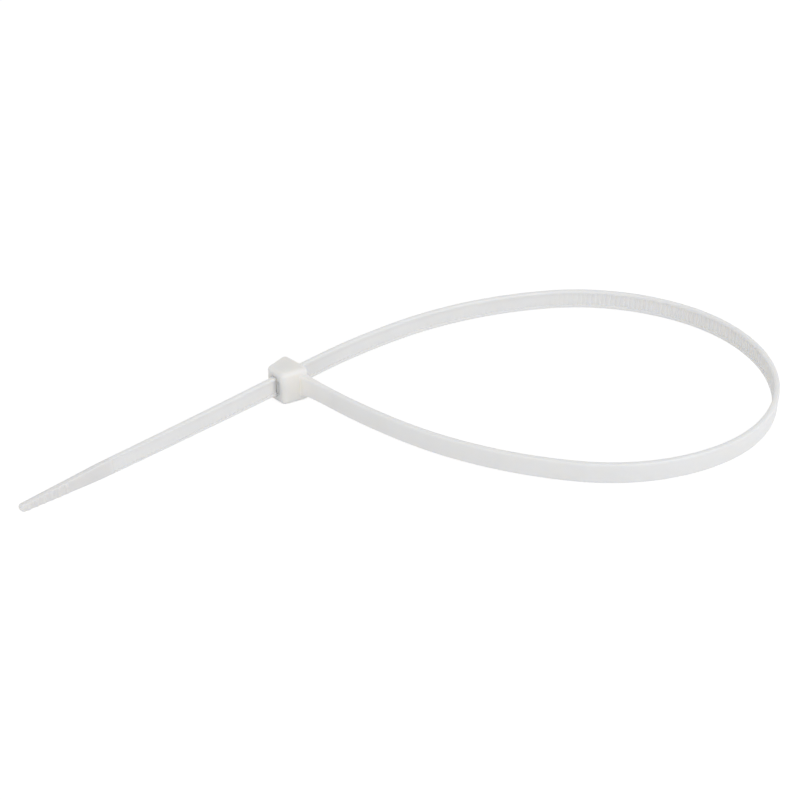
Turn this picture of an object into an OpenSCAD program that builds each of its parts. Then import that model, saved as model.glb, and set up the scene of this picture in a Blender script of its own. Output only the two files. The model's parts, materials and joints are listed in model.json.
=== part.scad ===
// A cable tie that has been threaded and drawn into a loop: one nylon moulding.
// It stands on the long edge of its strap, with the flat of the strap upright.
// The root of the strap leaves the head along +X, the slot runs along Y, and the loop lies between them.
// The origin is on the head's lower face, under the crossing of the root's and the slot's middle lines.

/* [Strap] */
// Width of the strap, across its flat
strap_w = 4.8; // [3.6:0.1:7.6]
// Thickness of the strap over its side rails
strap_t = 1.25; // [1.15:0.05:1.6]
// Rounding along the strap's long edges
strap_edge_r = 0.3; // [0.15:0.05:0.4]
// Width of the plain rail on each side of the toothed track
rail_w = 0.8; // [0.6:0.05:1.1]
// Plain length between the head and the toothed track
neck_len = 9; // [6:0.5:20]
// Extra thickness on the outside of the strap where it joins the head
neck_swell = 0.6; // [0.3:0.05:1]

/* [Teeth] */
// Distance from one tooth to the next
tooth_pitch = 1.2; // [0.9:0.05:1.6]
// Height of a tooth above the floor of its track
tooth_h = 0.42; // [0.3:0.02:0.5]
// Depth of the tooth tips below the side rails
tooth_sink = 0.08; // [0.04:0.02:0.2]
// Lean of a tooth's steep side, along the strap
tooth_lean = 0.12; // [0.06:0.02:0.3]

/* [Loop] */
// Reach of the loop, from the crossing in the head to the middle of its far end
loop_reach = 111.3; // [90:0.1:135]
// Straight stretch of each arm next to the head, from the crossing
arm_straight = 8; // [6.5:0.5:12]
// Radius of the gentle bend of each arm that follows
arm_r = 148.5; // [110:0.5:190]
// Bend radius at the far end of the loop
end_r = 36; // [28:0.5:43]

/* [Tail] */
// Length of the tail, from the head's exit face to the tip
tail_len = 67.4; // [45:0.1:90]
// Sideways bow of the tail, as a radius
tail_bow_r = 2100; // [900:50:4000]
// Length of the pointed end
point_len = 19; // [14:0.5:26]
// Width of the tail where the pointed end begins
point_w = 3.8; // [3.3:0.1:4.4]
// Width of the blunt tip
tip_w = 1.75; // [1.2:0.05:2.4]
// Plain length between the toothed track and the pointed end
tail_plain = 3; // [1:0.5:8]
// Number of grip ribs across the pointed end
rib_count = 6; // [3:1:7]
// Distance between grip ribs
rib_pitch = 1.8; // [1.4:0.1:2.2]
// Height of the grip ribs
rib_h = 0.15; // [0.1:0.05:0.25]

/* [Head] */
// Depth of the head, from the entry face to the exit face
head_depth = 6.75; // [6:0.05:8]
// How far the entry face stands above the toothed side of the root
entry_lip = 0.55; // [0.2:0.05:1]
// Wall on each side of the slot, across the strap's width
cheek_t = 1.7; // [1.3:0.1:2.4]
// Wall in front of the slot at the exit face, on the side away from the root
nose_t = 2; // [1.4:0.1:3]
// How much further forward the head reaches at its entry face
nose_flare = 1.2; // [0.6:0.1:1.8]
// Wall behind the pawl's pocket, at the exit face
back_t = 1.5; // [1:0.1:1.8]
// How much further back the head reaches at its entry face
heel = 2.05; // [1:0.05:2.4]
// Rounding of the head's edges
head_r = 1.2; // [0.6:0.1:1.4]
// Rounding of the edges around the entry face
entry_r = 1.2; // [0.6:0.1:1.4]
// Clearance between the strap and the slot
slot_gap = 0.1; // [0.05:0.01:0.2]
// Depth of the funnel at the mouth of the slot
funnel = 0.6; // [0.3:0.1:1]

/* [Pawl] */
// Number of teeth on the pawl
pawl_teeth = 3; // [2:1:3]
// Thickness of the pawl behind its teeth
pawl_t = 0.55; // [0.4:0.05:0.7]
// Clearance between the teeth of the pawl and of the strap
pawl_gap = 0.06; // [0.04:0.01:0.1]
// Clearance on each side of the pawl
pawl_side = 0.15; // [0.1:0.05:0.3]
// Space behind the pawl, for it to bend into
flex_gap = 0.35; // [0.25:0.05:0.5]
// Depth of the pawl's free end inside the exit face
pawl_inset = 0.5; // [0.2:0.1:0.8]

/* [Hidden] */
natural_nylon = "#E6E4DE";
// How far one form runs into another, and how far a cut runs past a face
bite = 0.4;
// Drawn curves: the longest step along a bend, and the facets of a small rounding
bend_step = 2;
round_fn = 32;

// Heights: the head stands on its lower face, and the strap runs at its middle
slot_w = strap_w + 2 * slot_gap;
head_w = slot_w + 2 * cheek_t;
mid_z = head_w / 2;
track_w = strap_w - 2 * rail_w;
pawl_w = track_w - 2 * pawl_side;

// Places across the slot, counted from its middle towards the root
rail_x = strap_t / 2;
tooth_tip_x = rail_x - tooth_sink;
track_floor_x = tooth_tip_x - tooth_h;
slot_x = rail_x + slot_gap;
pawl_face_x = tooth_tip_x + pawl_gap;
pawl_back_x = pawl_face_x + pawl_t;
pocket_x = pawl_back_x + flex_gap;
back_exit_x = pocket_x + back_t;
back_entry_x = back_exit_x + heel;
nose_exit_x = -slot_x - nose_t;
nose_entry_x = nose_exit_x - nose_flare;

// Places along the slot
entry_y = rail_x + entry_lip;
exit_y = entry_y - head_depth;
pawl_tip_y = exit_y + pawl_inset;
pawl_end_y = pawl_tip_y + pawl_teeth * tooth_pitch - tooth_lean;
pocket_y = pawl_end_y + bite;

// Half of the loop is four bends that tighten towards the far end, with these turns in degrees
turn_1 = 10;
turn_2 = 26;
turn_3 = 43;
turn_4 = 56;
head_1 = turn_1;
head_2 = head_1 + turn_2;
head_3 = head_2 + turn_3;
head_4 = head_3 + turn_4;

// The flank and the shoulder between them take what is left, so that the half loop ends square on its axis
axis_dir = head_4 - 90;
left_x = loop_reach * cos(axis_dir) - arm_straight
    - arm_r * sin(head_1) - end_r * (sin(head_4) - sin(head_3));
left_y = loop_reach * sin(axis_dir)
    - arm_r * (1 - cos(head_1)) - end_r * (cos(head_3) - cos(head_4));
run_2 = [sin(head_2) - sin(head_1), cos(head_1) - cos(head_2)];
run_3 = [sin(head_3) - sin(head_2), cos(head_2) - cos(head_3)];
spread = run_2.x * run_3.y - run_3.x * run_2.y;
flank_r = (left_x * run_3.y - left_y * run_3.x) / spread;
shoulder_r = (left_y * run_2.x - left_x * run_2.y) / spread;

// The route of the strap's middle line: stretches of [radius, turn in degrees], with [0, length] for a straight
// one, and a negative radius where the strap bends away from its toothed side
root_x = back_exit_x;
half_loop = [[arm_r, turn_1], [flank_r, turn_2], [shoulder_r, turn_3], [end_r, turn_4]];
route = concat(
    [[0, arm_straight - root_x]],
    half_loop,
    [for (i = [len(half_loop) - 1 : -1 : 0]) half_loop[i]],
    [[0, arm_straight - exit_y], [-tail_bow_r, tail_len / tail_bow_r * 180 / PI]]
);
marks = [for (i = [0 : len(route)]) length_before(i)];
starts = [for (i = [0 : len(route)]) start_of(i)];
strap_len = marks[len(route)];
exit_s = strap_len - tail_len;
tip = place(strap_len);

// The toothed track is counted from the tooth that the tip of the pawl holds
held_s = exit_s + exit_y - pawl_tip_y + pawl_gap;
track_from = back_entry_x + neck_len - root_x;
track_to = strap_len - point_len - tail_plain;
first_tooth = -floor((held_s - track_from) / tooth_pitch);
last_tooth = floor((track_to - held_s) / tooth_pitch);

function length_of(run) = run[0] == 0 ? run[1] : abs(run[0]) * run[1] * PI / 180;

// The place and heading after a length s of a stretch: [x, y, heading in degrees]
function ahead(p, r, s) =
    r == 0
    ? [p[0] + s * cos(p[2]), p[1] + s * sin(p[2]), p[2]]
    : let (h = p[2] + s / r * 180 / PI)
      [p[0] + (sin(h) - sin(p[2])) * r, p[1] + (cos(p[2]) - cos(h)) * r, h];
function length_before(i) = i == 0 ? 0 : length_before(i - 1) + length_of(route[i - 1]);
function start_of(i) =
    i == 0 ? [root_x, 0, 0] : ahead(start_of(i - 1), route[i - 1][0], length_of(route[i - 1]));
function stretch_at(s, i = 0) =
    i == len(route) - 1 || s <= marks[i + 1] ? i : stretch_at(s, i + 1);
function place(s) =
    let (i = stretch_at(s))
    ahead(starts[i], route[i][0], s - marks[i]);

// A point beside the middle line, positive towards the toothed side
function beside(s, a) =
    let (p = place(s))
    [p[0] - a * sin(p[2]), p[1] + a * cos(p[2])];

function unit(v) = v / norm(v);

// A polygon whose corners are rounded with true arcs, one radius for each corner
module rounded(points, radii) {
    n = len(points);
    before = [for (i = [0 : n - 1]) unit(points[(i + n - 1) % n] - points[i])];
    after = [for (i = [0 : n - 1]) unit(points[(i + 1) % n] - points[i])];
    half = [for (i = [0 : n - 1]) acos(before[i] * after[i]) / 2];
    polygon([
        for (i = [0 : n - 1])
            each [
                points[i] + before[i] * radii[i] / tan(half[i]),
                points[i] + after[i] * radii[i] / tan(half[i])
            ]
    ]);
    for (i = [0 : n - 1])
        translate(points[i] + unit(before[i] + after[i]) * radii[i] / sin(half[i]))
            circle(radii[i], $fn = round_fn);
}

// The strap's section, with the toothed side towards +X
module strap_section() {
    x = strap_t / 2;
    y = strap_w / 2;
    r = strap_edge_r;
    rounded([[-x, -y], [x, -y], [x, y], [-x, y]], [r, r, r, r]);
}

// A move in three steps, whole, fine and finest, that keeps every digit, so that stretches meet face to face
module exactly_at(v) {
    fine = 100000;
    whole = [for (c = v) floor(c)];
    part = [for (c = v) floor((c - floor(c)) * fine) / fine];
    translate(whole)
        translate(part)
            translate(v - whole - part)
                children();
}

// One stretch of the route, with the section's +X on the toothed side
module stretch(start, run) {
    heading = round(start[2]);
    r = abs(run[0]);
    steps = ceil(2 * PI * r / bend_step);
    exactly_at([start[0], start[1], mid_z])
        if (run[0] == 0)
            rotate([90, 0, heading + 90])
                linear_extrude(run[1])
                    children();
        else if (run[0] > 0)
            exactly_at([-r * sin(heading), r * cos(heading), 0])
                rotate_extrude(angle = run[1], start = heading - 90, $fn = steps)
                    exactly_at([r, 0, 0])
                        mirror([1, 0])
                            children();
        else
            rotate(heading)
                mirror([0, 1, 0])
                    exactly_at([0, r, 0])
                        rotate_extrude(angle = run[1], start = -90, $fn = steps)
                            exactly_at([r, 0, 0])
                                children();
}

// A section carried along the whole route
module along_route() {
    for (i = [0 : len(route) - 1])
        stretch(starts[i], route[i])
            children();
}

// A short core inside each joint of two stretches, because faces that only meet may come out a hair apart
module joint_cores() {
    for (i = [1 : len(route) - 1])
        translate([starts[i][0], starts[i][1], mid_z])
            cylinder(h = strap_w / 2, r = strap_t / 4, center = true, $fn = round_fn);
}

// What is cut out of the track, so that the teeth stand in it
module between_teeth() {
    steep_and_slope = [
        for (i = [first_tooth : last_tooth - 1])
            each [
                beside(held_s + i * tooth_pitch, track_floor_x),
                beside(held_s + i * tooth_pitch + tooth_lean, tooth_tip_x)
            ]
    ];
    outside = [
        for (i = [last_tooth : -1 : first_tooth])
            beside(held_s + i * tooth_pitch, rail_x + bite)
    ];
    translate([0, 0, mid_z - track_w / 2])
        linear_extrude(track_w)
            polygon(concat(
                steep_and_slope,
                [beside(held_s + last_tooth * tooth_pitch, track_floor_x)],
                outside
            ));
}

// Low half-round bars across the pointed end, for the fingers
module grip_ribs() {
    rib_r = rib_pitch / 4;
    for (i = [1 : rib_count])
        translate(concat(beside(strap_len - i * rib_pitch, rail_x + rib_h - rib_r), [mid_z]))
            cylinder(h = point_w, r = rib_r, center = true, $fn = round_fn);
}

// The tail seen from its flat side: a long gentle taper, a pointed end and a blunt round tip
module tail_outline() {
    slope = (strap_w - point_w) / 2 / (tail_len - point_len);
    full = [exit_y + bite, strap_w / 2 + bite * slope];
    point = [tip[1] + point_len, point_w / 2];
    end = [tip[1] + tip_w / 2, tip_w / 2];
    polygon([full, point, end, [end.x, -end.y], [point.x, -point.y], [full.x, -full.y]]);
    translate([end.x, 0])
        circle(end.y, $fn = round_fn);
}

module tail_trim() {
    translate([tip[0] - strap_w, 0, mid_z])
        rotate([90, 0, 90])
            linear_extrude(2 * strap_w - tip[0])
                difference() {
                    translate([tip[1] - bite, -strap_w])
                        square([exit_y + bite - tip[1] + bite, 2 * strap_w]);
                    tail_outline();
                }
}

// The strap thickens on its outside as it runs into the head
module neck() {
    flat_w = strap_w - 3 * strap_edge_r;
    translate([0, 0, mid_z - flat_w / 2])
        linear_extrude(flat_w)
            polygon([
                [root_x, -rail_x + bite],
                [root_x, -rail_x - neck_swell],
                [back_entry_x, -rail_x - neck_swell],
                [arm_straight, -rail_x + tooth_sink],
                [arm_straight, -rail_x + bite]
            ]);
}

module strap() {
    difference() {
        union() {
            along_route() strap_section();
            joint_cores();
            grip_ribs();
        }
        between_teeth();
        tail_trim();
    }
    neck();
}

// A bar along Y that leans outwards over the head's depth, with one rounded face at X = 0 and the rest far off
module leaning_bar(lean) {
    past = 3 * head_depth;
    rotate(-atan2(lean, head_depth))
        translate([0, past, 0])
            rotate([90, 0, 0])
                linear_extrude(2 * past)
                    rounded(
                        [[-past, 0], [0, 0], [0, head_w], [-past, head_w]],
                        [head_r, head_r, head_r, head_r]
                    );
}

// The head's outer form: four bars that cross, each rounded along its own edges
module head_block() {
    plan = [
        [nose_exit_x, exit_y],
        [back_exit_x, exit_y],
        [back_entry_x, entry_y],
        [nose_entry_x, entry_y]
    ];
    intersection() {
        translate([0, 0, -bite])
            linear_extrude(head_w + 2 * bite)
                rounded(plan, [head_r, head_r, entry_r, entry_r]);
        translate([nose_exit_x, exit_y, 0])
            mirror([1, 0, 0])
                leaning_bar(nose_flare);
        translate([back_exit_x, exit_y, 0])
            leaning_bar(heel);
        translate([nose_entry_x - bite, 0, 0])
            rotate([90, 0, 90])
                linear_extrude(back_entry_x - nose_entry_x + 2 * bite)
                    rounded(
                        [[exit_y, 0], [entry_y, 0], [entry_y, head_w], [exit_y, head_w]],
                        [head_r, entry_r, entry_r, head_r]
                    );
    }
}

// The way through the head, with a funnel at its mouth
module slot() {
    translate([-slot_x, exit_y - bite, mid_z - slot_w / 2])
        cube([2 * slot_x, head_depth + 2 * bite, slot_w]);
    translate([0, 0, mid_z - slot_w / 2])
        linear_extrude(slot_w)
            polygon([
                [0, entry_y - funnel],
                [-slot_x, entry_y - funnel],
                [-slot_x - funnel / 2 - bite / 2, entry_y + bite],
                [0, entry_y + bite]
            ]);
    translate([-slot_x, 0, mid_z])
        rotate([90, 0, 90])
            linear_extrude(2 * slot_x)
                polygon([
                    [entry_y - funnel, -slot_w / 2],
                    [entry_y + bite, -slot_w / 2 - funnel / 2 - bite / 2],
                    [entry_y + bite, slot_w / 2 + funnel / 2 + bite / 2],
                    [entry_y - funnel, slot_w / 2]
                ]);
}

// The space that the pawl hangs in, open to the slot and to the exit face
module pocket() {
    translate([0, exit_y - bite, mid_z - track_w / 2])
        cube([pocket_x, pocket_y - exit_y + bite, track_w]);
}

// The springy tongue, whose teeth lie in the strap's teeth and stop it from backing out
module pawl() {
    teeth = [
        for (i = [0 : pawl_teeth - 1])
            each [
                [track_floor_x + pawl_gap, pawl_tip_y + i * tooth_pitch],
                [pawl_face_x, pawl_tip_y + (i + 1) * tooth_pitch - tooth_lean]
            ]
    ];
    translate([0, 0, mid_z - pawl_w / 2])
        linear_extrude(pawl_w)
            polygon(concat(
                teeth,
                [
                    [slot_x + bite / 2, pocket_y + bite],
                    [pawl_back_x, pocket_y + bite],
                    [pawl_back_x, pawl_tip_y - tooth_lean]
                ]
            ));
}

module head() {
    difference() {
        head_block();
        slot();
        pocket();
    }
    pawl();
}

module cable_tie() {
    color(natural_nylon)
        union() {
            head();
            strap();
        }
}

cable_tie();
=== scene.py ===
# %% [markdown]
# # A cable tie, drawn into a loop
# The tie is one moulding of natural nylon: a head with a springy pawl inside, and a long strap with fine
# ratchet teeth that has been threaded through the head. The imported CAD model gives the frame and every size.
# Here the same tie is modelled again with soft edges and smooth bends, and gets its milky nylon.

# %% Load the frame
import json
from math import cos, pi, radians, sin, sqrt, tan
import bpy
import bmesh
from mathutils import Matrix, Vector

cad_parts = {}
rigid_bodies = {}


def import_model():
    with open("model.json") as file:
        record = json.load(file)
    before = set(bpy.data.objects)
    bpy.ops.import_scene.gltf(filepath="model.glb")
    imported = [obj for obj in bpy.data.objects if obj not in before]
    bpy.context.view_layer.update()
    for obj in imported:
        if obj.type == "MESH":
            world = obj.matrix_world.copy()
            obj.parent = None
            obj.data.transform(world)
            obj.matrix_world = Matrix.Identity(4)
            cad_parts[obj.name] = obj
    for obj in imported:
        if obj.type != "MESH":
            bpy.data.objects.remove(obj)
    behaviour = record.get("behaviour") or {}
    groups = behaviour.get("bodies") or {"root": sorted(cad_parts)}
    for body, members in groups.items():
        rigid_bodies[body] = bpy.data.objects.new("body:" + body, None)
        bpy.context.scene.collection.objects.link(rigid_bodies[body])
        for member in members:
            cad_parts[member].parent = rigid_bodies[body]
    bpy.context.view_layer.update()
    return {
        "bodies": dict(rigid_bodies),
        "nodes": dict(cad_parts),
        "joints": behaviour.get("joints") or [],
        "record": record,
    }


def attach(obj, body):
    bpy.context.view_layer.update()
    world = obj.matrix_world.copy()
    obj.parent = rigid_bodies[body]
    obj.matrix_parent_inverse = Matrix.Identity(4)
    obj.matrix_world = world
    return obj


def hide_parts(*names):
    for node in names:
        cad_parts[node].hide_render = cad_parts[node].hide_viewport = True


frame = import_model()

MM = 0.001
NEAR = 0.01

# %% [markdown]
# ## Sizes
# These are the sizes of the CAD model, in millimetres. The strap stands on its long edge, so its width runs
# along Z, and its thickness lies in the XY plane. All modelling is done in millimetres, and each finished mesh
# is scaled to metres at the end.

# %% Sizes of the strap, the loop and the tail
STRAP_W, STRAP_T, EDGE_R = 4.8, 1.25, 0.3
TRACK_W = 3.2
PITCH, TOOTH_H, TOOTH_SINK, LEAN = 1.2, 0.42, 0.08, 0.12
REACH, ARM, ARM_R, END_R = 111.3, 8.0, 148.5, 36.0
TAIL, TAIL_BOW_R, POINT, POINT_W, TIP_W, TAIL_PLAIN = 67.4, 2100.0, 19.0, 3.8, 1.75, 3.0
RIBS, RIB_PITCH, RIB_H = 6, 1.8, 0.15
NECK = 9.0

HALF_T = STRAP_T / 2
TIP_X = HALF_T - TOOTH_SINK
FLOOR_X = TIP_X - TOOTH_H
MID_Z = 4.2
print("the track lies", round(HALF_T - FLOOR_X, 2), "mm deep in the strap")

# %% Sizes of the head and the pawl
HEAD_W, HEAD_R = 8.4, 1.2
NOSE_EXIT_X, NOSE_ENTRY_X = -2.725, -3.925
BACK_EXIT_X, BACK_ENTRY_X = 3.005, 5.055
ENTRY_Y, EXIT_Y = 1.175, -5.575
SLOT_X, SLOT_W, FUNNEL = 0.725, 5.0, 0.6
POCKET_X, POCKET_Y = 1.505, -1.195
PAWL_W, PAWL_FACE_X, PAWL_BACK_X, PAWL_TIP_Y, PAWL_GAP = 2.9, 0.605, 1.155, -5.075, 0.06
print("the slot is", 2 * SLOT_X, "x", SLOT_W, "mm")

# %% [markdown]
# ## The route
# The middle line of the strap is a chain of straight stretches and bends that meet without a kink. Each arm
# leaves the head straight, bends a little, and then turns ever more tightly towards the far end of the loop.
# Two of the four radii are chosen, and the other two close the loop on its axis.

# %% Solve the loop's bends
TURNS = (10, 26, 43, 56)
h1, h2, h3, h4 = (radians(sum(TURNS[: i + 1])) for i in range(4))
left_x = REACH * cos(h4 - pi / 2) - ARM - ARM_R * sin(h1) - END_R * (sin(h4) - sin(h3))
left_y = REACH * sin(h4 - pi / 2) - ARM_R * (1 - cos(h1)) - END_R * (cos(h3) - cos(h4))
flank = (sin(h2) - sin(h1), cos(h1) - cos(h2))
shoulder = (sin(h3) - sin(h2), cos(h2) - cos(h3))
spread = flank[0] * shoulder[1] - shoulder[0] * flank[1]
flank_r = (left_x * shoulder[1] - left_y * shoulder[0]) / spread
shoulder_r = (left_y * flank[0] - left_x * flank[1]) / spread
half = list(zip((ARM_R, flank_r, shoulder_r, END_R), TURNS))
print("bend radii:", [round(r, 2) for r, turn in half])

# %% The whole route, as (length, radius) with radius 0 for a straight stretch
route = [(ARM - BACK_EXIT_X, 0)]
route += [(r * radians(turn), r) for r, turn in half + half[::-1]]
route += [(ARM - EXIT_Y, 0), (TAIL, -TAIL_BOW_R)]
LENGTH = sum(length for length, r in route)
EXIT_S = LENGTH - TAIL
print("strap length:", round(LENGTH, 2))


# %% Find a place on the route
def place(s):
    """The point of the middle line at length s, and the heading there in radians."""
    x, y, heading = BACK_EXIT_X, 0.0, 0.0
    for length, r in route:
        step = min(s, length)
        if r == 0:
            x, y = x + step * cos(heading), y + step * sin(heading)
        else:
            turned = heading + step / r
            x, y = x + r * (sin(turned) - sin(heading)), y + r * (cos(heading) - cos(turned))
            heading = turned
        s -= step
        if s <= 0:
            break
    return Vector((x, y, 0)), heading


print("tail tip:", [round(v, 2) for v in place(LENGTH)[0]])

# %% [markdown]
# ## The strap
# The strap is one section swept along the route. A section is a rectangle whose four corners are rounded by a
# bevel, with two cuts for each side wall of the toothed track. From there each step is one extrude of the
# newest section's rim, carried to the next place on the route. After a step the newest section can be nudged:
# the track goes down to its floor or up to a tooth's tip, the neck swells, and the width shrinks along the
# tail. The teeth are counted from the one that the pawl holds, so that the two mesh.

# %% Where the teeth stand
HELD_S = EXIT_S + EXIT_Y - PAWL_TIP_Y + PAWL_GAP
TRACK_FROM = BACK_ENTRY_X + NECK - BACK_EXIT_X
TRACK_TO = LENGTH - POINT - TAIL_PLAIN
first_tooth = -int((HELD_S - TRACK_FROM) / PITCH)
last_tooth = int((TRACK_TO - HELD_S) / PITCH)
feet = [HELD_S + i * PITCH for i in range(first_tooth, last_tooth)]
track_end = HELD_S + last_tooth * PITCH
print(len(feet), "teeth from", round(feet[0], 2), "to", round(track_end, 2))

# %% The neck's swelling, and the fillet at its root
NECK_SWELL, NECK_END = 0.6, 12.0
FILLET, FILLET_INSIDE, FILLET_FROM, FILLET_TO = 0.5, 0.3, 4.35, 5.3
NECK_STOPS = (
    4.0, FILLET_FROM, 4.37, 4.41, 4.47, 4.55, 4.65, 4.78, 4.93, 5.1, FILLET_TO,
    5.6, 6.0, 6.5, 7.0, 7.5, ARM, 8.7, 9.5, 10.5, NECK_END,
)


def neck_flare(x):
    """How far the root swells on its outside, on its toothed side, and upwards and downwards."""
    swell = NECK_SWELL * min(max((NECK_END - x) / (NECK_END - BACK_ENTRY_X), 0), 1) ** 2
    q = min(max((FILLET_TO - x) / (FILLET_TO - FILLET_FROM), 0), 1)
    fillet = FILLET * (1 - sqrt(1 - q * q))
    return swell + fillet, FILLET_INSIDE * fillet, fillet


print("flare at the head's back:", [round(v, 2) for v in neck_flare(BACK_ENTRY_X)])

# %% The stops of the sweep, as (length along the route, level of the track)
TIP_R = TIP_W / 2
TIP_STOPS, RIB_STOPS, PLAIN_STOPS = 8, 16, 8
stops = [(x - BACK_EXIT_X, HALF_T) for x in NECK_STOPS] + [(feet[0], HALF_T)]
for foot in feet:
    stops += [(foot, FLOOR_X), (foot + LEAN, TIP_X)]
stops += [(track_end, FLOOR_X), (track_end, HALF_T)]
ribs_from = LENGTH - (RIBS + 0.5) * RIB_PITCH
stops += [(track_end + (ribs_from - track_end) * i / PLAIN_STOPS, HALF_T) for i in range(1, PLAIN_STOPS)]
stops += [(ribs_from + RIB_PITCH * i / RIB_STOPS, HALF_T) for i in range(int((RIBS + 0.5) * RIB_STOPS))]
round_from = LENGTH - TIP_R
stops = [stop for stop in stops if stop[0] < round_from - 0.02]
stops += [(LENGTH - TIP_R * (1 - sin(pi / 2 * i / TIP_STOPS)), HALF_T) for i in range(TIP_STOPS + 1)]
print(len(stops), "sections")

# %% How wide and thick a section is
TAPER_LEAD = 0.4
RIB_SPREAD = 0.28


def half_width(s):
    """Half of the strap's width: full, then a gentle taper, a pointed end and a round tip."""
    full, point = EXIT_S - TAPER_LEAD, LENGTH - POINT
    if s <= full:
        return STRAP_W / 2
    if s <= point:
        return (STRAP_W + (POINT_W - STRAP_W) * (s - full) / (point - full)) / 2
    if s <= round_from:
        return (POINT_W + (TIP_W - POINT_W) * (s - point) / (round_from - point)) / 2
    return sqrt(max(TIP_R ** 2 - (s - round_from) ** 2, 0.01))


def tip_thinning(s):
    """How much of the thickness is left where the blunt tip is rounded over."""
    q = min(max((s - LENGTH + EDGE_R) / EDGE_R, 0), 1)
    return 1 - (1 - sqrt(1 - q * q)) * EDGE_R / HALF_T


def rib_rise(s):
    """How far the grip ribs stand out of the toothed side."""
    number = round((LENGTH - s) / RIB_PITCH)
    off = abs((LENGTH - s) - number * RIB_PITCH)
    return RIB_H * cos(pi / 2 * min(off / (RIB_PITCH * RIB_SPREAD), 1)) if 1 <= number <= RIBS else 0.0


print("half widths:", [round(half_width(s), 2) for s in (0, EXIT_S, EXIT_S + 40, LENGTH - 5, LENGTH)])

# %% The first section
WALL_RUN = 0.03
strap = bmesh.new()
corners = [(-HALF_T, -STRAP_W / 2), (HALF_T, -STRAP_W / 2), (HALF_T, STRAP_W / 2), (-HALF_T, STRAP_W / 2)]
strap.faces.new([strap.verts.new((BACK_EXIT_X, a, MID_Z + z)) for a, z in corners])
bmesh.ops.bevel(
    strap, geom=strap.verts[:], offset=EDGE_R, segments=5, profile=0.5, affect="VERTICES", material=-1
)
for z in (-TRACK_W / 2, WALL_RUN - TRACK_W / 2, TRACK_W / 2 - WALL_RUN, TRACK_W / 2):
    everything = strap.faces[:] + strap.edges[:] + strap.verts[:]
    bmesh.ops.bisect_plane(strap, geom=everything, plane_co=(0, 0, MID_Z + z), plane_no=(0, 0, 1))
rim = [edge for edge in strap.edges if len(edge.link_faces) == 1]
print(len(rim), "edges round a section")


# %% The helpers of the sweep
def frame_at(s):
    """Turns local (along, towards the toothed side, up) into places in the model, at length s."""
    point, heading = place(s)
    return Matrix.Translation(point + Vector((0, 0, MID_Z))) @ Matrix.Rotation(heading, 4, "Z")


def step_to(bm, rim, old, new):
    """Extrudes the rim and carries the new one from the old frame to the new frame."""
    made = bmesh.ops.extrude_edge_only(bm, edges=rim)["geom"]
    verts = [v for v in made if isinstance(v, bmesh.types.BMVert)]
    fresh = set(verts)
    bmesh.ops.transform(bm, matrix=new @ old.inverted(), verts=verts)
    return verts, [e for e in made if isinstance(e, bmesh.types.BMEdge) and set(e.verts) <= fresh]


def move(bm, verts, frame, side=0.0, up=0.0):
    """Moves points by a distance towards the toothed side and upwards."""
    if verts and (side or up):
        bmesh.ops.translate(bm, vec=frame.to_3x3() @ Vector((0, side, up)), verts=verts)


def stretch(bm, verts, frame, thick=1.0, wide=1.0):
    """Scales a section about the middle line."""
    if thick != 1 or wide != 1:
        bmesh.ops.scale(bm, vec=(1, thick, wide), space=frame.inverted(), verts=verts)


print("a section starts at", [round(v, 2) for v in frame_at(0).translation])

# %% Sweep the strap
MIDDLE_BAND = 0.2
here = frame_at(0)
level, wide, rise, thick, outside, inside, flare = HALF_T, STRAP_W / 2, 0.0, 1.0, 0.0, 0.0, 0.0
for s, new_level in stops:
    there = frame_at(s)
    verts, rim = step_to(strap, rim, here, there)
    here = there
    stretch(strap, verts, here, thick=1 / thick)
    local = [(v, here.inverted() @ v.co) for v in verts]
    track = [v for v, p in local if p.y > 0 and abs(p.z) < TRACK_W / 2 - WALL_RUN / 3]
    toothed = [v for v, p in local if p.y > MIDDLE_BAND]
    outer = [v for v, p in local if p.y < -MIDDLE_BAND]
    upper = [v for v, p in local if p.z > TRACK_W / 2 + WALL_RUN / 3]
    lower = [v for v, p in local if p.z < -TRACK_W / 2 - WALL_RUN / 3]
    move(strap, track, here, side=new_level - level)
    level = new_level
    new_outside, new_inside, new_flare = neck_flare(s + BACK_EXIT_X)
    move(strap, outer, here, side=outside - new_outside)
    move(strap, toothed, here, side=new_inside - inside)
    new_wide = half_width(s)
    if new_wide >= POINT_W / 2:
        grown = new_wide + new_flare - wide - flare
        move(strap, upper, here, up=grown)
        move(strap, lower, here, up=-grown)
    else:
        stretch(strap, verts, here, wide=new_wide / wide)
    outside, inside, flare, wide = new_outside, new_inside, new_flare, new_wide
    move(strap, toothed, here, side=rib_rise(s) - rise)
    rise, thick = rib_rise(s), tip_thinning(s)
    stretch(strap, verts, here, thick=thick)
bmesh.ops.contextual_create(strap, geom=rim)
bmesh.ops.remove_doubles(strap, verts=strap.verts[:], dist=0.0005)
bmesh.ops.recalc_face_normals(strap, faces=strap.faces[:])
print("strap:", len(strap.verts), "points,", len(strap.faces), "faces")

# %% [markdown]
# ## The head
# The head is a cube pulled to the head's size. Its nose and its back lean out towards the entry face, where the
# strap goes in, and its edges are rounded by a bevel. The slot, with the funnel at its mouth, and the pocket
# for the pawl are cores in the real mould. Here they are blocks that a Boolean takes out of the head, in the
# same way.


# %% Helpers for blocks and finished pieces
def block(low, high):
    """A bmesh block between two corners."""
    bm = bmesh.new()
    bmesh.ops.create_cube(bm, size=1)
    low, high = Vector(low), Vector(high)
    bmesh.ops.scale(bm, vec=high - low, verts=bm.verts[:])
    bmesh.ops.translate(bm, vec=(low + high) / 2, verts=bm.verts[:])
    return bm


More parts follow.
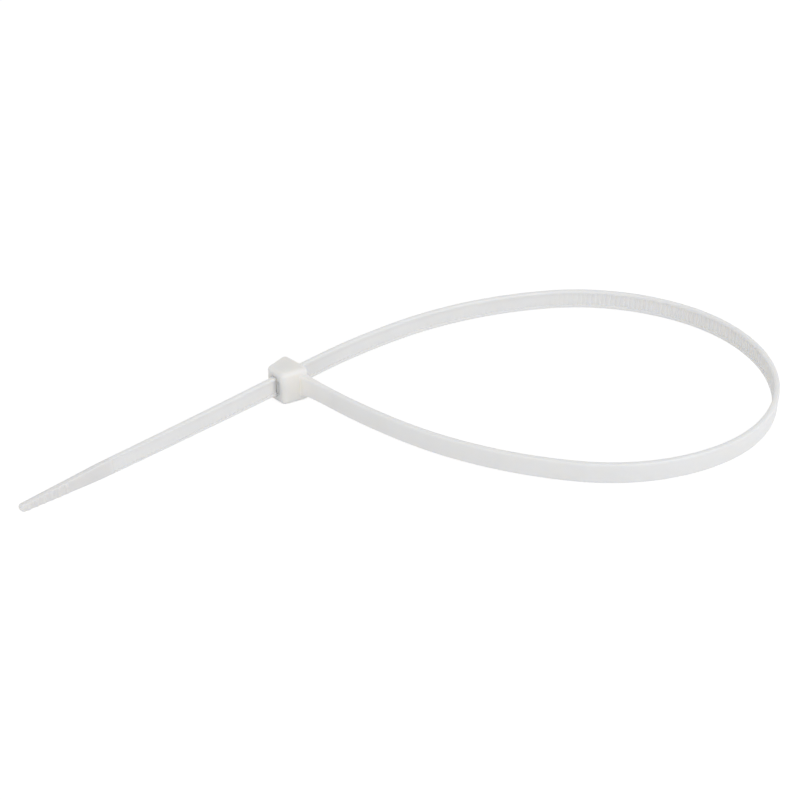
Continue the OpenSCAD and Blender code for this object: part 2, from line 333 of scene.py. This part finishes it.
def as_object(bm, name):
    """Puts a bmesh in the scene, in metres."""
    mesh = bpy.data.meshes.new(name)
    bmesh.ops.scale(bm, vec=(MM, MM, MM), verts=bm.verts[:])
    bm.to_mesh(mesh)
    bm.free()
    piece = bpy.data.objects.new(name, mesh)
    bpy.context.collection.objects.link(piece)
    return piece


def apply_booleans(piece, operation, others):
    """Cuts other objects out of a piece or joins them to it, keeps the result, and removes the others."""
    for other in others:
        change = piece.modifiers.new(other.name, "BOOLEAN")
        change.operation, change.solver, change.object = operation, "EXACT", other
    seen = piece.evaluated_get(bpy.context.evaluated_depsgraph_get())
    result = bpy.data.meshes.new_from_object(seen)
    piece.modifiers.clear()
    piece.data = result
    for other in others:
        bpy.data.objects.remove(other)


strap_piece = as_object(strap, "strap")
print("strap piece:", [round(v / MM, 2) for v in strap_piece.dimensions])

# %% The head's outer form
RIM_SHARE = 0.97
head = block((NOSE_EXIT_X, EXIT_Y, 0), (BACK_EXIT_X, ENTRY_Y, HEAD_W))
at_entry = [v for v in head.verts if v.co.y > 0]
back, nose = ([v for v in at_entry if v.co.x > 0], [v for v in at_entry if v.co.x < 0])
bmesh.ops.translate(head, vec=(BACK_ENTRY_X - BACK_EXIT_X, 0, 0), verts=back)
bmesh.ops.translate(head, vec=(NOSE_ENTRY_X - NOSE_EXIT_X, 0, 0), verts=nose)
plan = ((NOSE_EXIT_X, EXIT_Y), (BACK_EXIT_X, EXIT_Y), (BACK_ENTRY_X, ENTRY_Y), (NOSE_ENTRY_X, ENTRY_Y))
for x, y in plan:
    at_corner = {v for v in head.verts if abs(v.co.x - x) < NEAR and abs(v.co.y - y) < NEAR}
    upright = [e for e in head.edges if set(e.verts) <= at_corner]
    sides = [f.normal for f in upright[0].link_faces]
    half_turn = sides[0].angle(sides[1]) / 2
    bmesh.ops.bevel(
        head, geom=upright, offset=HEAD_R * tan(half_turn), offset_type="OFFSET", segments=8, profile=0.5,
        affect="EDGES", material=-1,
    )
rims = [e for e in head.edges if abs(e.verts[0].co.z - e.verts[1].co.z) < NEAR]
bmesh.ops.bevel(
    head, geom=rims, offset=HEAD_R * RIM_SHARE, offset_type="OFFSET", segments=8, profile=0.5, affect="EDGES",
    clamp_overlap=True, material=-1,
)
bmesh.ops.remove_doubles(head, verts=head.verts[:], dist=0.002)
print("head:", len(head.faces), "faces")

# %% The cores of the slot and of the pocket
PAST = 1.0
low_z, high_z = MID_Z - SLOT_W / 2, MID_Z + SLOT_W / 2
slot_core = block((-SLOT_X, EXIT_Y - PAST, low_z), (SLOT_X, ENTRY_Y + PAST, high_z))
pocket_core = block((0, EXIT_Y - PAST, MID_Z - TRACK_W / 2), (POCKET_X, POCKET_Y, MID_Z + TRACK_W / 2))
print("the pocket is", round(POCKET_Y - EXIT_Y, 2), "mm deep")

# %% The core of the funnel, which opens by half of its run on three sides
FUNNEL_SLOPE, FUNNEL_BURIED, TOOTHED_SIDE_STEP = 0.5, 0.4, 0.1
ends = (ENTRY_Y - FUNNEL - FUNNEL_BURIED, ENTRY_Y + PAST)
mouth_core = block((-SLOT_X, ends[0], low_z), (SLOT_X - TOOTHED_SIDE_STEP, ends[1], high_z))
for y in ends:
    opened = FUNNEL_SLOPE * (y - ENTRY_Y + FUNNEL)
    end = [v for v in mouth_core.verts if abs(v.co.y - y) < NEAR]
    bmesh.ops.translate(mouth_core, vec=(-opened, 0, 0), verts=[v for v in end if v.co.x < 0])
    bmesh.ops.translate(mouth_core, vec=(0, 0, opened), verts=[v for v in end if v.co.z > MID_Z])
    bmesh.ops.translate(mouth_core, vec=(0, 0, -opened), verts=[v for v in end if v.co.z < MID_Z])
print("mouth core:", [tuple(round(c, 2) for c in v.co) for v in mouth_core.verts][:4])

# %% Cut the cores out of the head
head_piece = as_object(head, "head")
named_cores = ((slot_core, "slot_core"), (pocket_core, "pocket_core"), (mouth_core, "mouth_core"))
apply_booleans(head_piece, "DIFFERENCE", [as_object(bm, name) for bm, name in named_cores])
print("head after the cuts:", len(head_piece.data.polygons), "faces")

# %% Round the cut edges a little
CUT_R, FLAT, SHARP = 0.1, radians(1), radians(20)
soft = bmesh.new()
soft.from_mesh(head_piece.data)
bmesh.ops.remove_doubles(soft, verts=soft.verts[:], dist=0.00001 * MM)
bmesh.ops.dissolve_limit(soft, angle_limit=FLAT, verts=soft.verts[:], edges=soft.edges[:])
sharp = [e for e in soft.edges if len(e.link_faces) == 2 and e.calc_face_angle() > SHARP]
bmesh.ops.bevel(
    soft, geom=sharp, offset=CUT_R * MM, offset_type="OFFSET", segments=3, profile=0.5, affect="EDGES",
    clamp_overlap=True, material=-1,
)
soft.to_mesh(head_piece.data)
soft.free()
print(len(sharp), "sharp edges rounded,", len(head_piece.data.polygons), "faces")

# %% [markdown]
# ## The pawl
# The pawl is a springy tongue that hangs in the pocket, with its free end at the exit face. Its three teeth
# lie in the teeth of the strap: they let the strap slide in, and their steep sides stop it from sliding back.
# It is drawn from the side with a few points, and extruded across its width. Its root is buried in the head.

# %% The pawl, from its side view
TEETH = 3
ROOT_X, ROOT_Y = SLOT_X + 0.2, POCKET_Y + 0.4
NOSE_X, NOSE_Y = 1.375, EXIT_Y + 0.01
side = []
for i in range(TEETH):
    side += [(FLOOR_X + PAWL_GAP, PAWL_TIP_Y + i * PITCH)]
    side += [(PAWL_FACE_X, PAWL_TIP_Y + (i + 1) * PITCH - LEAN)]
side += [(ROOT_X, ROOT_Y), (PAWL_BACK_X, ROOT_Y), (NOSE_X, PAWL_TIP_Y)]
side += [(NOSE_X, NOSE_Y), (PAWL_FACE_X, NOSE_Y), (PAWL_FACE_X, PAWL_TIP_Y)]
print("side view:", len(side), "points")

# %% Pull the side view across, and round its edges
PAWL_EDGE_R = 0.03
pawl = bmesh.new()
flat = pawl.faces.new([pawl.verts.new((x, y, MID_Z - PAWL_W / 2)) for x, y in side])
pulled = bmesh.ops.extrude_face_region(pawl, geom=[flat])["geom"]
top = [v for v in pulled if isinstance(v, bmesh.types.BMVert)]
bmesh.ops.translate(pawl, vec=(0, 0, PAWL_W), verts=top)
bmesh.ops.recalc_face_normals(pawl, faces=pawl.faces[:])
bmesh.ops.bevel(
    pawl, geom=pawl.edges[:], offset=PAWL_EDGE_R, offset_type="OFFSET", segments=2, profile=0.5,
    affect="EDGES", clamp_overlap=True, material=-1,
)
pawl_piece = as_object(pawl, "pawl")
print("pawl:", len(pawl_piece.data.polygons), "faces")

# %% [markdown]
# ## One moulding
# The head, the pawl and the strap come out of the mould as one piece, so they are joined with a Boolean union.
# That also lets the light wander from one into the other under the skin of the nylon. Faces that meet at a
# small angle share their shading, and a Weighted Normal modifier keeps large faces even beside small bevels.

# %% Join the three forms
SHADING_ANGLE = radians(32)
tie = head_piece
tie.name = "cable_tie_nylon"
apply_booleans(tie, "UNION", [pawl_piece, strap_piece])
tie.data.shade_smooth()
tie.data.set_sharp_from_angle(angle=SHADING_ANGLE)
even = tie.modifiers.new("even_shading", "WEIGHTED_NORMAL")
even.keep_sharp = True
print("the tie:", len(tie.data.vertices), "points,", len(tie.data.polygons), "faces")

# %% Hand the piece to the frame
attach(tie, "root")
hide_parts("cable_tie")
print("the tie rides on the root")

# %% [markdown]
# ## The nylon
# Undyed nylon is milky: light goes a little way in and comes out again, which is what subsurface scattering
# does. Thin places look nearly white, and the thick head looks creamy. The surface is satin, with the fine
# grain of the mould, and soft clouds where the melt has cooled at its own pace.


# %% Shader maths as plain expressions
class Wire:
    """A socket that can be used in sums, and the nodes that are made around it."""

    def __init__(self, tree, socket=None):
        self.tree, self.socket = tree, socket

    def node(self, kind, settings=None, out=0, **inputs):
        """Adds a node, sets its settings first and then its sockets, and returns one of its outputs.

        A socket goes by its name, or by i and its number where its name isn't enough.
        """
        made = self.tree.nodes.new(kind)
        for name, value in (settings or {}).items():
            setattr(made, name, value)
        for name, value in inputs.items():
            key = int(name[1:]) if name[0] == "i" and name[1:].isdigit() else name
            if isinstance(value, Wire):
                self.tree.links.new(value.socket, made.inputs[key])
            else:
                made.inputs[key].default_value = value
        return Wire(self.tree, made.outputs[out] if made.outputs else None)

    def maths(self, operation, a, b):
        return self.node("ShaderNodeMath", {"operation": operation}, i0=a, i1=b)

    def __add__(self, other):
        return self.maths("ADD", self, other)

    def __radd__(self, other):
        return self.maths("ADD", other, self)

    def __sub__(self, other):
        return self.maths("SUBTRACT", self, other)

    def __rsub__(self, other):
        return self.maths("SUBTRACT", other, self)

    def __mul__(self, other):
        return self.maths("MULTIPLY", self, other)

    def __rmul__(self, other):
        return self.maths("MULTIPLY", other, self)


def mix_colour(wire, factor, a, b):
    """Between two colours, by a mask."""
    return wire.node("ShaderNodeMix", {"data_type": "RGBA"}, out=2, i0=factor, i6=a, i7=b)


def fade(wire, value, start, end):
    """A mask that goes from 0 to 1 as a value goes from start to end."""
    return wire.node("ShaderNodeMapRange", Value=value, i1=start, i2=end)


print("shader helpers ready")

# %% The nylon's patterns, as masks
nylon = bpy.data.materials.new("milky_nylon")
nylon.use_nodes = True
wire = Wire(nylon.node_tree)
spot = wire.node("ShaderNodeTexCoord", out=3)
clouds = wire.node("ShaderNodeTexNoise", Vector=spot, Scale=120.0, Detail=3.0, Roughness=0.55)
drift = wire.node("ShaderNodeTexNoise", Vector=spot, Scale=700.0, Detail=2.0, Roughness=0.5)
grain = wire.node("ShaderNodeTexNoise", Vector=spot, Scale=4200.0, Detail=2.0, Roughness=0.5)
cloudy = fade(wire, clouds, 0.35, 0.65)
HEAD_MIDDLE = (0.0005, -0.0025, 0.0042)
from_head = wire.node("ShaderNodeVectorMath", {"operation": "DISTANCE"}, out=1, i0=spot, i1=HEAD_MIDDLE)
thick_mask = fade(wire, from_head, 0.0075, 0.0045)
spot_y = wire.node("ShaderNodeSeparateXYZ", out=1, Vector=spot)
# Painted shade: this mask marks the plain end of the tail past the teeth, which gets a darker colour.
painted_end_shade_mask = fade(wire, spot_y, -0.0503, -0.0517)
print("nylon patterns:", len(nylon.node_tree.nodes), "nodes")

# %% The nylon's colours
# Each is a pair, for clear and for cloudy nylon. The plain end has no teeth to shade it, so its colour is made
# a bit darker as painted shade, to look as shaded as the toothed part.
STRAP_WHITE = (0.835, 0.835, 0.835, 1), (0.812, 0.812, 0.81, 1)
END_PAINTED_SHADE_WHITE = (0.73, 0.73, 0.74, 1), (0.705, 0.705, 0.715, 1)
HEAD_CREAM = (0.90, 0.88, 0.85, 1), (0.88, 0.857, 0.82, 1)
strap_colour, end_painted_shade_colour, head_colour = (
    mix_colour(wire, cloudy, clear, milky) for clear, milky in (STRAP_WHITE, END_PAINTED_SHADE_WHITE, HEAD_CREAM)
)
# The painted shade of the plain end is mixed in here, and then the head's cream.
colour = mix_colour(wire, thick_mask, mix_colour(wire, painted_end_shade_mask, strap_colour, end_painted_shade_colour), head_colour)
roughness = 0.36 + 0.14 * drift
bump = wire.node("ShaderNodeBump", Strength=0.12, Distance=0.00004, Height=grain * 0.6 + drift * 0.4)
print("nylon nodes:", len(nylon.node_tree.nodes))

# %% The nylon's shader
shader = nylon.node_tree.nodes["Principled BSDF"]
for name, value in (("Base Color", colour), ("Roughness", roughness), ("Normal", bump)):
    nylon.node_tree.links.new(value.socket, shader.inputs[name])
shader.inputs["IOR"].default_value = 1.53
shader.inputs["Subsurface Weight"].default_value = 1.0
shader.inputs["Subsurface Radius"].default_value = (1.0, 0.9, 0.75)
shader.inputs["Subsurface Scale"].default_value = 0.003
tie.data.materials.clear()
tie.data.materials.append(nylon)
print("the tie is made of", tie.data.materials[0].name)

# %% [markdown]
# ## The floor, the light and the camera
# The photograph is taken on a white sweep. Floor and room are white to the camera and in reflections, and the
# floor still keeps a soft shadow. The tie itself is lit by a soft room that is a little brighter on the
# camera's side, and by one large soft lamp low on the camera's right, so the nylon shows about its own colour.


# %% The floor
def meets_background(wire):
    """1 for rays from the camera, reflections and transmissions, and 0 for light on its way to the tie."""
    camera_ray, reflected, through = (wire.node("ShaderNodeLightPath", out=out) for out in (0, 3, 6))
    return wire.maths("MINIMUM", camera_ray + reflected + through, 1.0)


FLOOR_HALF, FLOOR_Z = 1500, -0.02
sheet = bmesh.new()
bmesh.ops.create_grid(sheet, x_segments=1, y_segments=1, size=FLOOR_HALF)
bmesh.ops.translate(sheet, vec=(0, 0, FLOOR_Z), verts=sheet.verts[:])
floor = as_object(sheet, "floor")
print("floor is", round(floor.dimensions.x, 2), "m wide")

# %% The floor's paper
paper = bpy.data.materials.new("white_paper")
paper.use_nodes = True
paper.node_tree.nodes.clear()
wire = Wire(paper.node_tree)
lit_paper = wire.node("ShaderNodeBsdfDiffuse", Color=(0.86, 0.86, 0.86, 1))
shadow_part = wire.node("ShaderNodeBsdfDiffuse", Color=(0.38, 0.38, 0.38, 1))
white_part = wire.node("ShaderNodeEmission", Color=(1, 1, 1, 1), Strength=0.75)
white_paper = wire.node("ShaderNodeAddShader", i0=shadow_part, i1=white_part)
mixed = wire.node("ShaderNodeMixShader", i0=meets_background(wire), i1=lit_paper, i2=white_paper)
wire.node("ShaderNodeOutputMaterial", Surface=mixed)
floor.data.materials.append(paper)
print("paper nodes:", len(paper.node_tree.nodes))

# %% The room's light
BRIGHT_SIDE, LEVEL, SWING = (0.85, -0.43, -0.30), 0.79, 0.2
scene = bpy.context.scene
world = bpy.data.worlds.new("studio")
scene.world = world
world.use_nodes = True
world.node_tree.nodes.clear()
wire = Wire(world.node_tree)
white = meets_background(wire)
towards = wire.node("ShaderNodeTexCoord", out=0)
side_on = wire.node("ShaderNodeVectorMath", {"operation": "DOT_PRODUCT"}, out=1, i0=towards, i1=BRIGHT_SIDE)
soft_light = LEVEL + SWING * side_on
strength = soft_light * (1 - white) + white
room = wire.node("ShaderNodeBackground", Color=(1, 1, 1, 1), Strength=strength)
wire.node("ShaderNodeOutputWorld", Surface=room)
print("world nodes:", len(world.node_tree.nodes))

# %% The soft lamp
softbox = bpy.data.lights.new("softbox", "AREA")
softbox.size, softbox.energy = 0.5, 1.0
lamp = bpy.data.objects.new("softbox", softbox)
lamp.location = (0.76, 0.0, 0.34)
lamp.rotation_euler = (Vector((0.03, 0.03, 0)) - lamp.location).to_track_quat("-Z", "Y").to_euler()
bpy.context.collection.objects.link(lamp)
print("the lamp is", round(lamp.location.length, 2), "m away")

# %% The camera
camera = bpy.data.objects.new("camera", bpy.data.cameras.new("camera"))
camera.data.sensor_width, camera.data.lens = 36, 67.18
camera.data.clip_start, camera.data.clip_end = 0.01, 10
camera.location = (0.22607, -0.18915, 0.18822)
azimuth, elevation = radians(-45.239), radians(32.955)
ahead = Vector((cos(elevation) * sin(azimuth), cos(elevation) * cos(azimuth), -sin(elevation)))
camera.rotation_euler = ahead.to_track_quat("-Z", "Y").to_euler()
bpy.context.collection.objects.link(camera)
scene.camera = camera
scene.view_settings.view_transform = "Standard"
print("camera looks along", [round(c, 3) for c in ahead])
